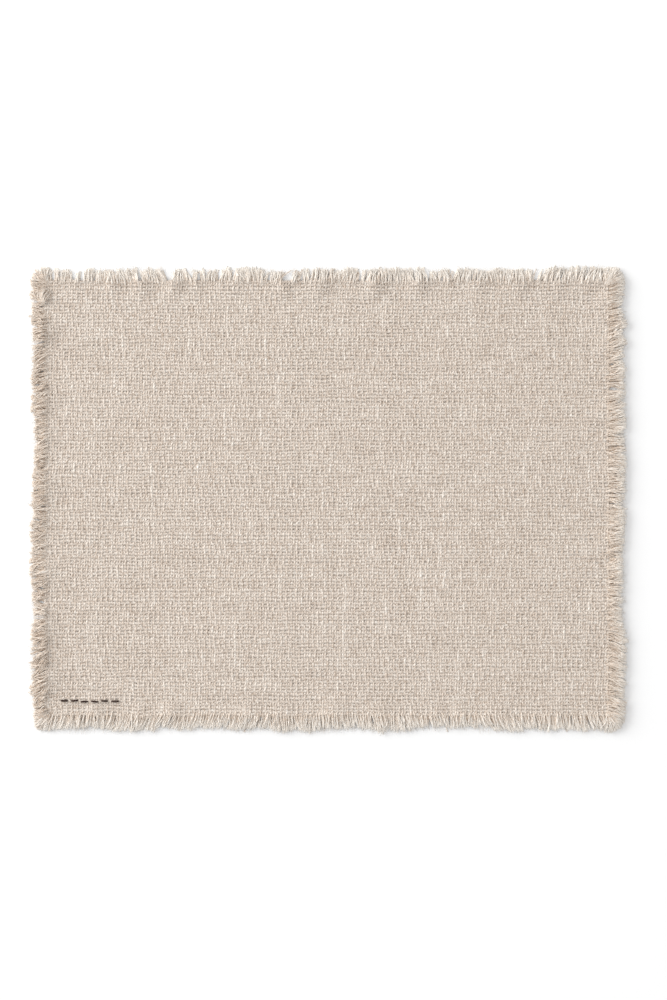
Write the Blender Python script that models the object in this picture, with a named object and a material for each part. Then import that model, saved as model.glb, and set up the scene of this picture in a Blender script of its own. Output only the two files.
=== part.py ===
"""A woven fabric placemat with four frayed edges, lying flat on a table.

Metres. +X is the mat's long way to the right, +Y its back edge, +Z up from the table. The origin
is under the middle of the mat, on the table.
"""

import math
import random
from collections import namedtuple

import bmesh
import bpy
from mathutils import Vector

MM = 0.001

# Driving sizes
MAT_LENGTH = 450 * MM  # along X, with the fringe
MAT_WIDTH = 350 * MM  # along Y, with the fringe
CLOTH_LEFT = -216.0 * MM  # the four lines where the weave ends and the fringe begins
CLOTH_RIGHT = 214.0 * MM
CLOTH_FRONT = -165.0 * MM
CLOTH_BACK = 166.5 * MM
CLOTH_THICKNESS = 2.0 * MM
PIECE_GAP = 0.3 * MM

# The mesh of the cloth
CLOTH_STEP = 6.5 * MM  # along the edge, between points
RING_INSETS = (0.0, 4 * MM, 9 * MM, 17 * MM)  # the rings of points that carry the ripples
RIPPLE_REACH = RING_INSETS[-1]  # in from the edge, a ripple has died away here

# The outline is cut by eye, so each edge strays a little from its line
WOBBLE = 0.45 * MM
WOBBLE_LENGTHS = (97 * MM, 61 * MM)

# The corner that curls up off the table
CURLED_CORNER = Vector((CLOTH_RIGHT, CLOTH_BACK))
CORNER_LIFT = 2.6 * MM
CORNER_SPREAD = 26 * MM

# The backing strip of each fringe, and its strands
STRIP_DEPTH = 1.6 * MM
STRIP_THICKNESS = 1.8 * MM
ROOT_WIDTH = 4.2 * MM
TIP_WIDTH = 3.5 * MM
TIP_THICKNESS = 1.1 * MM
LEAST_TIP_PITCH = 4.2 * MM
STRAND_SECTIONS = 2
REACH_SPREAD = 0.10  # a strand is this share longer or shorter than its neighbours
LEAN_SPREAD = 3.0  # degrees
LEAN_CURVE = 1.4  # above 1, a strand leaves its root straight and bends towards its tip
SEED = 20

# A soft ridge that runs out to the edge: its place along the side, its height and its half width
Ripple = namedtuple("Ripple", "along height spread")
# How the fringe lies: a place along the side, its lean in degrees towards +X or +Y, and its reach
Fringe = namedtuple("Fringe", "along lean reach")
# A side: the ways along and out of it, where it starts and ends, how far out its fringe's roots and
# the mat's edge lie, how many strands it has, and its tables
Side = namedtuple("Side", "name along out start end root mat_edge strands ripples fringe")

BACK_RIPPLES = (
    Ripple(-193, 0.6, 5),
    Ripple(-165, 0.9, 5),
    Ripple(-142, 1.5, 6),
    Ripple(-117, 1.7, 6),
    Ripple(-100, 0.7, 4),
    Ripple(-72, 0.8, 8),
    Ripple(-34, 1.2, 6),
    Ripple(-6, 1.7, 8),
    Ripple(36, 1.8, 8),
    Ripple(69, 1.5, 7),
    Ripple(115, 0.9, 7),
    Ripple(145, 1.1, 7),
    Ripple(175, 0.7, 6),
)
FRONT_RIPPLES = (
    Ripple(-177, 1.1, 6),
    Ripple(-143, 0.9, 5),
    Ripple(-120, 1.7, 8),
    Ripple(-62, 0.9, 9),
    Ripple(-35, 0.8, 7),
    Ripple(5, 1.3, 9),
    Ripple(39, 0.8, 6),
    Ripple(82, 0.9, 6),
    Ripple(99, 0.8, 6),
    Ripple(128, 0.9, 8),
    Ripple(172, 0.7, 8),
)
LEFT_RIPPLES = (
    Ripple(-137, 1.2, 10),
    Ripple(-96, 1.3, 9),
    Ripple(-54, 0.7, 8),
    Ripple(9, 0.9, 9),
    Ripple(50, 0.7, 7),
    Ripple(77, 0.9, 6),
    Ripple(128, 1.2, 7),
)
RIGHT_RIPPLES = (
    Ripple(-137, 0.6, 9),
    Ripple(-78, 0.9, 10),
    Ripple(-30, 0.7, 8),
    Ripple(15, 0.8, 9),
    Ripple(68, 0.9, 8),
    Ripple(117, 1.0, 9),
)

BACK_FRINGE = (
    Fringe(-214, -38, 8.0),
    Fringe(-204, 2, 7.2),
    Fringe(-180, 4, 8.0),
    Fringe(-152, -12, 8.6),
    Fringe(-128, -24, 8.2),
    Fringe(-112, -8, 7.4),
    Fringe(-86, 12, 8.0),
    Fringe(-62, 4, 8.2),
    Fringe(-34, 20, 7.6),
    Fringe(-8, 10, 7.8),
    Fringe(14, 2, 8.2),
    Fringe(40, 2, 8.4),
    Fringe(66, -14, 8.4),
    Fringe(90, -4, 8.2),
    Fringe(100, 14, 8.2),
    Fringe(136, 0, 8.0),
    Fringe(170, 22, 8.8),
    Fringe(196, 26, 8.6),
    Fringe(212, 38, 8.4),
)
FRONT_FRINGE = (
    Fringe(-214, -38, 9.0),
    Fringe(-198, -18, 10.0),
    Fringe(-184, -6, 10.0),
    Fringe(-160, -14, 9.8),
    Fringe(-126, -26, 9.2),
    Fringe(-100, -14, 8.6),
    Fringe(-56, -12, 9.8),
    Fringe(-30, 8, 10.0),
    Fringe(2, 4, 10.0),
    Fringe(24, 8, 9.2),
    Fringe(38, 16, 10.0),
    Fringe(70, 20, 8.6),
    Fringe(106, 8, 8.8),
    Fringe(124, 28, 9.8),
    Fringe(160, 14, 9.2),
    Fringe(184, 8, 9.4),
    Fringe(200, 26, 10.0),
    Fringe(212, 38, 9.6),
)
LEFT_FRINGE = (
    Fringe(-163, -38, 8.4),
    Fringe(-146, -34, 9.0),
    Fringe(-118, -22, 8.6),
    Fringe(-88, -12, 8.2),
    Fringe(-48, -6, 9.0),
    Fringe(0, -4, 9.0),
    Fringe(32, -6, 7.0),
    Fringe(52, -8, 6.8),
    Fringe(82, -14, 8.4),
    Fringe(124, -12, 9.0),
    Fringe(140, 6, 9.0),
    Fringe(164, 38, 8.4),
)
RIGHT_FRINGE = (
    Fringe(-163, -38, 10.0),
    Fringe(-148, -24, 10.4),
    Fringe(-112, -22, 11.0),
    Fringe(-84, -2, 10.2),
    Fringe(-40, 2, 10.4),
    Fringe(20, -4, 11.0),
    Fringe(62, 18, 11.0),
    Fringe(88, 8, 10.4),
    Fringe(112, 28, 10.2),
    Fringe(140, 16, 10.6),
    Fringe(164, 38, 10.0),
)

ALONG_X, ALONG_Y = Vector((1, 0)), Vector((0, 1))
HALF_LENGTH, HALF_WIDTH = MAT_LENGTH / 2, MAT_WIDTH / 2
SIDES = (
    Side("front", ALONG_X, -ALONG_Y, CLOTH_LEFT, CLOTH_RIGHT, -CLOTH_FRONT, HALF_WIDTH,
         79, FRONT_RIPPLES, FRONT_FRINGE),
    Side("right", ALONG_Y, ALONG_X, CLOTH_FRONT, CLOTH_BACK, CLOTH_RIGHT, HALF_LENGTH,
         61, RIGHT_RIPPLES, RIGHT_FRINGE),
    Side("back", ALONG_X, ALONG_Y, CLOTH_LEFT, CLOTH_RIGHT, CLOTH_BACK, HALF_WIDTH,
         79, BACK_RIPPLES, BACK_FRINGE),
    Side("left", ALONG_Y, -ALONG_X, CLOTH_FRONT, CLOTH_BACK, -CLOTH_LEFT, HALF_LENGTH,
         61, LEFT_RIPPLES, LEFT_FRINGE),
)

# Linear colours
CLOTH_BEIGE = (0.645, 0.558, 0.485, 1.0)
FRINGE_BEIGE = (0.690, 0.610, 0.535, 1.0)
YARN_ROUGHNESS = 0.92


def clear_scene():
    for old in list(bpy.data.objects):
        bpy.data.objects.remove(old, do_unlink=True)


def smooth(share):
    """Eases 0 to 1 in and out."""
    share = min(max(share, 0.0), 1.0)
    return share * share * (3 - 2 * share)


def mix(low, high, share):
    return low + (high - low) * share


def wobble(side, along):
    """How far this side's edge strays from its straight line."""
    phase = side.out.x + 2 * side.out.y
    waves = [math.sin(math.tau * along / length + phase) for length in WOBBLE_LENGTHS]
    return WOBBLE * sum(waves) / len(waves)


def edge_lift(side, along):
    """The height of this side's ripples at a place along it."""
    return sum(
        ripple.height * MM * math.exp(-(((along - ripple.along * MM) / (ripple.spread * MM)) ** 2))
        for ripple in side.ripples
    )


def cloth_lift(place):
    """How far the cloth stands off the table at a point of its plan."""
    fades = [smooth(1 - (side.root - place.dot(side.out)) / RIPPLE_REACH) for side in SIDES]
    curl = math.exp(-(((place - CURLED_CORNER).length / CORNER_SPREAD) ** 2))
    ripples = [fade * edge_lift(side, place.dot(side.along)) for fade, side in zip(fades, SIDES)]
    return CORNER_LIFT * curl * max(fades) + sum(ripples)


def ring_points(inset):
    """The plan points of one ring round the cloth, this far in from its edge, front side first."""
    points = []
    for side in SIDES:
        ends = side.start + inset, side.end - inset
        if side.name in ("back", "left"):
            ends = ends[::-1]
        steps = round((side.end - side.start) / CLOTH_STEP)
        for step in range(steps):
            along = mix(*ends, step / steps)
            stray = wobble(side, along) * (1 - inset / RIPPLE_REACH) if step else 0.0
            points.append(side.along * along + side.out * (side.root - inset + stray))
    return points


def add_object(name, bm, colour, collection):
    """Puts a closed mesh in the scene under its node's name, with its own material."""
    bmesh.ops.recalc_face_normals(bm, faces=bm.faces)
    mesh = bpy.data.meshes.new(name)
    bm.to_mesh(mesh)
    bm.free()
    material = bpy.data.materials.new(name)
    material.use_nodes = True
    surface = material.node_tree.nodes["Principled BSDF"]
    surface.inputs["Base Color"].default_value = colour
    surface.inputs["Roughness"].default_value = YARN_ROUGHNESS
    surface.inputs["Metallic"].default_value = 0.0
    mesh.materials.append(material)
    obj = bpy.data.objects.new(name, mesh)
    collection.objects.link(obj)
    return obj


def add_ring(bm, inset):
    """One closed loop of edges on the cloth's upper face."""
    verts = []
    for place in ring_points(inset):
        verts.append(bm.verts.new((place.x, place.y, CLOTH_THICKNESS + cloth_lift(place))))
    return [bm.edges.new((verts[i - 1], verts[i])) for i in range(len(verts))]


def build_cloth(collection):
    """The woven ground: rings that carry the ripples round a flat middle, given its thickness."""
    bm = bmesh.new()
    rings = [add_ring(bm, inset) for inset in RING_INSETS]
    for outer, inner in zip(rings, rings[1:]):
        bmesh.ops.bridge_loops(bm, edges=outer + inner)
    bmesh.ops.contextual_create(bm, geom=rings[-1])
    lower = bmesh.ops.extrude_face_region(bm, geom=bm.faces[:])["geom"]
    sunk = [part for part in lower if isinstance(part, bmesh.types.BMVert)]
    bmesh.ops.translate(bm, verts=sunk, vec=(0, 0, -CLOTH_THICKNESS))
    return add_object("ground_cloth", bm, CLOTH_BEIGE, collection)


def fringe_at(side, along):
    """(lean in degrees, reach) of the fringe at a place along its side."""
    rows = side.fringe
    if along <= rows[0].along * MM:
        return rows[0].lean, rows[0].reach * MM
    for before, after in zip(rows, rows[1:]):
        if along <= after.along * MM:
            share = smooth((along / MM - before.along) / (after.along - before.along))
            return mix(before.lean, after.lean, share), mix(before.reach, after.reach, share) * MM
    return rows[-1].lean, rows[-1].reach * MM


def strip_corners(side, along):
    """The four corners of the backing strip's section here: inner and outer, low and high."""
    edge = side.root + wobble(side, along) + PIECE_GAP
    low = cloth_lift(side.along * along + side.out * side.root)
    return [
        (side.along * along + side.out * out).to_3d() + Vector((0, 0, height))
        for out in (edge, edge + STRIP_DEPTH)
        for height in (low, low + STRIP_THICKNESS)
    ]


def strand_roots(side):
    """(start, end) of each strand's root along the strip, evenly spread from end to end."""
    pitch = (side.end - side.start) / side.strands
    margin = (pitch - ROOT_WIDTH) / 2
    return [
        (side.start + pitch * i + margin, side.start + pitch * (i + 1) - margin)
        for i in range(side.strands)
    ]


def move_section(face, corners):
    """Carries the four points of a section face to new corners, each to the one on its own side."""
    middle = face.calc_center_median()
    target = sum(corners, Vector()) / len(corners)
    for vert in face.verts:
        way = (vert.co - middle).normalized()
        vert.co = max(corners, key=lambda corner: way.dot((corner - target).normalized()))


def build_strip(bm, side):
    """The narrow backing, drawn out section by section, and the faces that the strands grow from."""
    stations = [side.start]
    for start, end in strand_roots(side):
        stations += [start, end]
    stations.append(side.end)
    rings = []
    for along in stations:
        inner_low, inner_high, outer_low, outer_high = strip_corners(side, along)
        verts = [bm.verts.new(co) for co in (inner_low, outer_low, outer_high, inner_high)]
        rings.append([bm.edges.new((verts[i - 1], verts[i])) for i in range(4)])
    outer_faces = []
    for count, (near, far) in enumerate(zip(rings, rings[1:])):
        walls = bmesh.ops.bridge_loops(bm, edges=near + far)["faces"]
        if count % 2:
            reach_out = [wall.calc_center_median().dot(side.out.to_3d()) for wall in walls]
            outer_faces.append(walls[reach_out.index(max(reach_out))])
    for end in (rings[0], rings[-1]):
        bmesh.ops.contextual_create(bm, geom=end)
    return outer_faces


def strand_tips(side, roots, chance):
    """(shift along the side, reach) of each strand's tip, kept clear of the tip before it."""
    tips = []
    last = -math.inf
    for root in roots:
        along = root.dot(side.along.to_3d())
        lean, reach = fringe_at(side, along)
        reach = reach * (1 + chance.uniform(-REACH_SPREAD, REACH_SPREAD)) - STRIP_DEPTH
        reach = min(reach, side.mat_edge - root.dot(side.out.to_3d()))
        lean += chance.uniform(-LEAN_SPREAD, LEAN_SPREAD)
        tip = max(along + reach * math.tan(math.radians(lean)), last + LEAST_TIP_PITCH)
        tips.append((tip - along, reach))
        last = tip
    return tips


def grow_strand(bm, face, side, shift, reach):
    """Draws one strand out of the strip's outer face and down to rest on the table."""
    root = face.calc_center_median()
    stand_off = root.z - STRIP_THICKNESS / 2
    along, out = side.along.to_3d(), side.out.to_3d()
    for section in range(1, STRAND_SECTIONS + 1):
        share = section / STRAND_SECTIONS
        half_width = mix(ROOT_WIDTH, TIP_WIDTH, share) / 2
        thickness = mix(STRIP_THICKNESS, TIP_THICKNESS, share)
        low = stand_off * (1 - smooth(share))
        centre = root + along * shift * share**LEAN_CURVE + out * reach * share
        corners = []
        for sideways in (-half_width, half_width):
            for height in (low, low + thickness):
                corner = centre + along * sideways
                corner.z = height
                corners.append(corner)
        face = bmesh.ops.extrude_discrete_faces(bm, faces=[face])["faces"][0]
        move_section(face, corners)


def build_fringe(side, collection, chance):
    """One side's fringe: a backing strip along the cloth's edge with its strands fused to it."""
    bm = bmesh.new()
    faces = build_strip(bm, side)
    roots = [face.calc_center_median() for face in faces]
    for face, (shift, reach) in zip(faces, strand_tips(side, roots, chance)):
        grow_strand(bm, face, side, shift, reach)
    return add_object("fringe_" + side.name, bm, FRINGE_BEIGE, collection)


def main():
    clear_scene()
    collection = bpy.data.collections.new("fabric_placemat")
    bpy.context.scene.collection.children.link(collection)
    build_cloth(collection)
    chance = random.Random(SEED)
    for side in SIDES:
        build_fringe(side, collection, chance)


main()
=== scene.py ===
"""The looks of a frayed, woven placemat: each yarn of its ribbed weave, its loose ends and its sewing.

Metres, in the frame of the solids: +X along the mat to the right, +Y to its back edge, +Z up.
"""

import math
from collections import namedtuple

import bpy
import numpy as np
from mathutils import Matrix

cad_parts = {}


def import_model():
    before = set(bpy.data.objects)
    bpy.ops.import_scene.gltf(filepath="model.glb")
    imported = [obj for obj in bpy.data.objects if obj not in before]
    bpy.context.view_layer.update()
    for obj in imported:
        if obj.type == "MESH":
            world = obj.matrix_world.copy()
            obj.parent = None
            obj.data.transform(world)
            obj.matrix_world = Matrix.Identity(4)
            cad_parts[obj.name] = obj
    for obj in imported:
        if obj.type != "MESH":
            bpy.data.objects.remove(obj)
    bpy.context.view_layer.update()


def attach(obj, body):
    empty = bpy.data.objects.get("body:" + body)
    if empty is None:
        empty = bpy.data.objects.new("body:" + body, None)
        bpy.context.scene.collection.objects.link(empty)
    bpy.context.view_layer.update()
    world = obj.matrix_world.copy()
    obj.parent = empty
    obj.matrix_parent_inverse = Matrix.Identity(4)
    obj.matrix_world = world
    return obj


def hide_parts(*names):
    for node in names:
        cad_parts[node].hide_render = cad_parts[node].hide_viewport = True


MM = 0.001
SEED = 41

# The cloth, as its solids have it
CLOTH_LEFT = -216.0 * MM
CLOTH_RIGHT = 214.0 * MM
CLOTH_FRONT = -165.0 * MM
CLOTH_BACK = 166.5 * MM
CLOTH_THICKNESS = 2.0 * MM
RIPPLE_REACH = 17 * MM  # in from the edge, a ripple has died away here
WOBBLE = 0.45 * MM
WOBBLE_LENGTHS = (97 * MM, 61 * MM)
CURLED_CORNER = (CLOTH_RIGHT, CLOTH_BACK)
CURL_LIFT = 2.6 * MM
CURL_SPREAD = 26 * MM

# The weave
WARP_COUNT = 221  # yarns that run from front to back
WEFT_COUNT = 133  # yarns that run from left to right
WEAVE_MIDDLE = CLOTH_THICKNESS / 2
PICKS_UNDER = 4  # a rib weave: an odd warp dives under four wefts, then floats over three
PICKS_OVER = 3
PICK_SHIFTS = (0.0, 0.03, -0.04, -0.02, -0.04, 0.03, 0.04)  # of a repeat's wefts, in weft pitches
PICK_CROWNS = (0.95, 1.05, 1.05, 0.9, 0.9, 1.1, 0.95)  # how far each stands up over its warps
# What the yarns of one direction are like: half width and half thickness, how far they swing up and
# down, how much they bulge and their painted highlight where they lie on top, how light they are,
# the share of them that is thick in places and by how much, and how far they stray sideways
Run = namedtuple("Run", "half rise bulge crown_tone tone slubs slub_girth stray")
WARP = Run(
    half=(1.10 * MM, 0.50 * MM), rise=0.02 * MM, bulge=0.04, crown_tone=0.0, tone=-0.06,
    slubs=0.18, slub_girth=0.22, stray=0.20 * MM,
)
WEFT = Run(
    half=(1.45 * MM, 0.50 * MM), rise=0.16 * MM, bulge=0.05, crown_tone=0.16, tone=-0.02,
    slubs=0.07, slub_girth=0.15, stray=0.18 * MM,
)
WARP_UNEVENNESS = 0.07  # how far a yarn lies off its even place, in pitches
WEFT_UNEVENNESS = 0.05
CROSSING_UNEVENNESS = 0.06 * MM
DRIFT_TONE = 0.06  # how much a yarn's tone changes slowly along it,
SLUB_TONE = 0.6  # how much lighter its thick places are,
CROSSING_TONE = 0.12  # how much its tone changes from one crossing to the next,
YARN_TONE = 0.06  # and how much one yarn's differs from another's
DRIFT_LENGTH = 12 * MM
STRAY_LENGTH = 2.6 * MM
GIRTH_DRIFT = 0.10  # how much thicker or thinner a yarn slowly gets
SPACING_DRIFT = 0.06  # how much closer or wider the warps are set in places,
SPACING_LENGTH = 9.0  # over this many of them
TUG = 0.38 * MM
TUG_LENGTHS = (14 * MM, 50 * MM)
TUG_WAVES = 7
YARN_RING = (90, 155, 270, 25)  # where a yarn's corners are round it, in degrees
YARN_END = 0.1 * MM  # a yarn's last rings are this far inside the cloth's edge

# A kind of thick place in a yarn: its length, how common it is, how suddenly it swells and how thick
Slub = namedtuple("Slub", "length commonness steepness strength")
SLUBS = (Slub(21 * MM, 2.0, 2.2, 1.0), Slub(7 * MM, 1.4, 2.5, 0.8))

# A soft ridge that runs out to the edge: its place along the side, its height and its half width
Ripple = namedtuple("Ripple", "along height spread")
# How the fringe lies: a place along the side, its lean in degrees towards +X or +Y, and its reach
Fringe = namedtuple("Fringe", "along lean reach")
# Where ends have parted or been shed: a place along the side, and half the width at the tips
Parting = namedtuple("Parting", "along half")
# A loose end that lies on its own: its root, its tip, both along and out, its height in between and how
# far out it bows
Stray = namedtuple("Stray", "along out tip_along tip_out hump bow", defaults=(0.0,))
# A side: the ways along and out of it, where it starts and ends, how far out its roots lie, the ends
# that it has, their plies, how wide these spread, how much further they reach than their table, how
# high the tips lie and the middle humps, the painted light and shade of their tones at root, middle
# and tip, how much they gather in clumps near the root and at the tip, how many degrees an end may
# lean away from its neighbours, how square the corner is where the next side starts, and its tables
Side = namedtuple(
    "Side",
    "name along out start end root ends plies spread further tip hump tones gather scatter squareness "
    "ripples fringe strays partings crests",
    defaults=((), ()),
)


def table(kind, *rows):
    """Many rows of one kind."""
    return tuple(kind(*row) for row in rows)


BACK_RIPPLES = table(
    Ripple,
    (-193, 0.6, 5), (-165, 0.9, 5), (-142, 1.5, 6), (-117, 1.7, 6), (-100, 0.7, 4), (-72, 0.8, 8),
    (-34, 1.2, 6), (-6, 1.7, 8), (36, 1.8, 8), (69, 1.5, 7), (115, 0.9, 7), (145, 1.1, 7),
    (175, 0.7, 6),
)
FRONT_RIPPLES = table(
    Ripple,
    (-177, 1.1, 6), (-143, 0.9, 5), (-120, 1.7, 8), (-62, 0.9, 9), (-35, 0.8, 7), (5, 1.3, 9),
    (39, 0.8, 6), (82, 0.9, 6), (99, 0.8, 6), (128, 0.9, 8), (172, 0.7, 8),
)
LEFT_RIPPLES = table(
    Ripple,
    (-137, 1.2, 10), (-96, 1.3, 9), (-54, 0.7, 8), (9, 0.9, 9), (50, 0.7, 7), (77, 0.9, 6),
    (128, 1.2, 7),
)
RIGHT_RIPPLES = table(
    Ripple,
    (-137, 0.6, 9), (-78, 0.9, 10), (-30, 0.7, 8), (15, 0.8, 9), (68, 0.9, 8), (117, 1, 9),
)

BACK_FRINGE = table(
    Fringe,
    (-214, -16, 8), (-204, 2, 7.2), (-180, 4, 8), (-152, -12, 8.6), (-128, -24, 8.2), (-112, -8, 7.4),
    (-86, 12, 8), (-62, 4, 8.2), (-34, 20, 7.6), (-8, 10, 7.8), (14, 2, 8.2), (40, 2, 8.4),
    (66, -14, 8.4), (90, -4, 8.2), (100, 14, 8.2), (136, 0, 8), (170, 22, 8.8), (196, 26, 8.6),
    (212, 18, 8.4),
)
FRONT_FRINGE = table(
    Fringe,
    (-214, -18, 9), (-198, -18, 10), (-184, -6, 10), (-160, -14, 9.8), (-126, -26, 9.2),
    (-100, -14, 8.6), (-56, -12, 9.8), (-30, 8, 10), (2, 4, 10), (24, 8, 9.2), (38, 16, 10),
    (70, 20, 8.6), (106, 8, 8.8), (124, 28, 9.8), (160, 14, 9.2), (184, 8, 9.4), (200, 26, 10),
    (212, 20, 9.6),
)
LEFT_FRINGE = table(
    Fringe,
    (-163, -22, 6.2), (-148, -34, 7.4), (-118, -22, 8.6), (-88, -12, 8.2), (-48, -6, 9), (0, -4, 9),
    (32, -6, 7), (52, -8, 6.8), (82, -14, 8.4), (124, -12, 9), (140, 6, 9), (164, 18, 8.4),
)
RIGHT_FRINGE = table(
    Fringe,
    (-163, -22, 10), (-148, -24, 10.4), (-112, -22, 11), (-84, -2, 10.2), (-40, 2, 10.4), (20, -4, 11),
    (62, 18, 11), (88, 8, 10.4), (112, 28, 10.2), (140, 16, 10.6), (164, 20, 10),
)

BACK_PARTINGS = table(
    Parting,
    (-208.6, 0.8), (-193, 1.6), (-187.4, 0.8), (-177.4, 1), (-163.8, 0.8), (-142.5, 1.6), (-120.4, 3.6),
    (-106, 0.8), (-98, 0.9), (-85.4, 1), (-76.6, 1), (-73, 1), (-46.5, 0.9), (-32, 4.4), (-22, 2),
    (23.5, 1.2), (28, 1), (77, 1.4), (86.2, 0.9), (94, 2), (112.4, 0.6), (157.8, 1.4), (162, 1.2),
)
BACK_STRAYS = table(
    Stray,
    (-76, 0, -73.6, 8.2, 0.6), (-37, 0.5, -28.2, 8, 0.9), (-27.6, 0, -24.6, 8.4, 0.5),
    (-24.6, 0, -22.4, 7.4, 0.5), (-22.8, 0, -19.8, 8.8, 0.6), (22, 0, 23, 7.2, 0.5),
    (26.6, 0, 28.2, 7.8, 0.5), (91.8, 0, 91.6, 8.6, 0.4), (93.6, 0, 94.4, 7.6, 0.4),
    (155.6, 0, 158.4, 9.2, 0.5), (159.4, 0, 163, 9, 0.5), (166, 1, 172.6, 10.8, 0.8),
    (204, 0.5, 199.6, 10.8, 0.8), (206, 0.5, 201.8, 11, 0.8), (-134, 1, -137, 10.8, 0.6),
)
FRONT_STRAYS = table(
    Stray,
    (88, 2, 91, 12, 0.3), (-60, 2, -64, 12.2, 0.3), (176, 2, 182, 11.8, 0.3),
)
LEFT_STRAYS = table(
    Stray,
    (149, 3, 158.6, 8.4, 1.6, 1.2), (149.5, 1.8, 160.4, 5.2, 1.9, 1.4),
    (149.6, 1.6, 161.6, 3.4, 2.1, 1.4), (149.9, 1.4, 162.3, 1.8, 2.2, 1.6),
    (149.6, 1, 162.6, 0.4, 2.3, 1.8), (149.5, 0.8, 162.2, -1, 2.2, 1.9),
    (149.4, 0.6, 161.2, -2.4, 2, 2), (149, 0.4, 159.4, -3.9, 1.8, 1.8),
    (148.4, 0.2, 157, -4.6, 1.6, 1.2), (158, 5, 149, -1.6, 1.4, 0.6), (-83.4, 2.6, -85.6, -2.4, 1.6),
    (-88.2, 2.2, -85.4, -2.6, 1.6), (150, 1, 156.6, 12.2, 0.8), (140, 2, 139.4, 12.6, 0.6),
    (-122, 1, -124.4, 12.2, 0.6), (-150, 1, -146.6, 12.8, 0.6), (-6, 2, -4, 11.8, 0.5),
    (88, 2, 92, 11.4, 0.5),
)
RIGHT_STRAYS = table(
    Stray,
    (60, 2, 63, 11.8, 0.5), (-20, 2, -22, 12, 0.5), (-120, 2, -124, 12.2, 0.5),
)

# Where the left side's ends stand up in a roll beside the cloth
LEFT_CRESTS = table(
    Ripple,
    (-152, 1, 16), (-111, 1.2, 16), (69, 1, 5), (85, 0.9, 2), (126, 1.2, 4), (136, 1.1, 3),
    (150, 0.9, 3),
)

# What the front and back have alike, and what the left and right have
WIDTHWISE = dict(
    along=(1, 0), start=CLOTH_LEFT, end=CLOTH_RIGHT, ends=WARP_COUNT, plies=7, spread=0.65 * MM
)
DEPTHWISE = dict(
    along=(0, 1), start=CLOTH_FRONT, end=CLOTH_BACK, ends=WEFT_COUNT, plies=11, spread=0.9 * MM
)
# Each side's tones at root, middle and tip are painted light and shade: lighter where the ends catch the
# light, darker where they lie in shade
SIDES = (
    Side(
        name="front", out=(0, -1), root=-CLOTH_FRONT, further=1.2 * MM, tip=2.0 * MM, hump=0.7 * MM,
        tones=(-0.2, 0.5, 1.6), gather=(0.15, 0.28), scatter=5, squareness=5.0,
        ripples=FRONT_RIPPLES, fringe=FRONT_FRINGE, strays=FRONT_STRAYS, **WIDTHWISE,
    ),
    Side(
        name="right", out=(1, 0), root=CLOTH_RIGHT, further=1.0 * MM, tip=3.4 * MM, hump=0.9 * MM,
        tones=(-0.25, -0.1, 1.4), gather=(0.42, 0.0), scatter=7, squareness=3.2,
        ripples=RIGHT_RIPPLES, fringe=RIGHT_FRINGE, strays=RIGHT_STRAYS, **DEPTHWISE,
    ),
    Side(
        name="back", out=(0, 1), root=CLOTH_BACK, further=1.5 * MM, tip=0.7 * MM, hump=0.7 * MM,
        tones=(0.1, 0.75, 1.5), gather=(0.1, 0.32), scatter=7, squareness=3.0,
        ripples=BACK_RIPPLES, fringe=BACK_FRINGE, strays=BACK_STRAYS, partings=BACK_PARTINGS,
        **WIDTHWISE,
    ),
    Side(
        name="left", out=(-1, 0), root=-CLOTH_LEFT, further=1.9 * MM, tip=0.9 * MM, hump=1.6 * MM,
        tones=(0.15, -0.35, 0.25), gather=(0.5, 0.2), scatter=16, squareness=9.0,
        ripples=LEFT_RIPPLES, fringe=LEFT_FRINGE, strays=LEFT_STRAYS, crests=LEFT_CRESTS,
        **DEPTHWISE,
    ),
)


# ---------- shapes of the cloth


def smooth(share):
    """Eases 0 to 1 in and out."""
    share = np.clip(share, 0.0, 1.0)
    return share * share * (3 - 2 * share)


def peak(x, place, width):
    """A soft peak, 1 high."""
    return np.exp(-(((x - place) / width) ** 2))


def off_side(side, x, y):
    """How far points of the plan lie along a side and out of the mat's middle towards it."""
    return x * side.along[0] + y * side.along[1], x * side.out[0] + y * side.out[1]


def in_plan(side, along, out):
    """The x and y of points that lie so far along a side and out towards it."""
    return along * side.along[0] + out * side.out[0], along * side.along[1] + out * side.out[1]


def wobble(side, along):
    """How far this side's edge strays from its straight line."""
    phase = side.out[0] + 2 * side.out[1]
    waves = [np.sin(math.tau * along / length + phase) for length in WOBBLE_LENGTHS]
    return WOBBLE * sum(waves) / len(waves)


def edge_lift(side, along):
    """The height of this side's ripples at a place along it."""
    return sum(
        ripple.height * MM * peak(along, ripple.along * MM, ripple.spread * MM)
        for ripple in side.ripples
    )


def cloth_lift(x, y):
    """How far the cloth stands off the table at points of its plan."""
    lift, strongest = 0.0, 0.0
    for side in SIDES:
        along, out = off_side(side, x, y)
        fade = smooth(1 - (side.root - out) / RIPPLE_REACH)
        lift = lift + fade * edge_lift(side, along)
        strongest = np.maximum(strongest, fade)
    away = np.hypot(x - CURLED_CORNER[0], y - CURLED_CORNER[1])
    return lift + CURL_LIFT * strongest * peak(away, 0.0, CURL_SPREAD)


def laid(x, y, height):
    """Points of the flat, straight weave, brought to where the uneven cloth really lies."""
    lift = cloth_lift(x, y)
    for side in SIDES:
        along, out = off_side(side, x, y)
        stray = wobble(side, along) * smooth(1 - (side.root - out) / RIPPLE_REACH)
        x = x + side.out[0] * stray
        y = y + side.out[1] * stray
    return np.stack([x, y, height + lift], axis=-1)


def drift(chance, count, along, length):
    """A smooth random value from -1 to 1 for each of count yarns, at each place along them."""
    place = (along - along.min()) / length
    knots = chance.uniform(-1, 1, (count, int(place.max()) + 3))
    low = place.astype(int)
    share = smooth(place - low)
    return knots[:, low] * (1 - share) + knots[:, low + 1] * share


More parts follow.
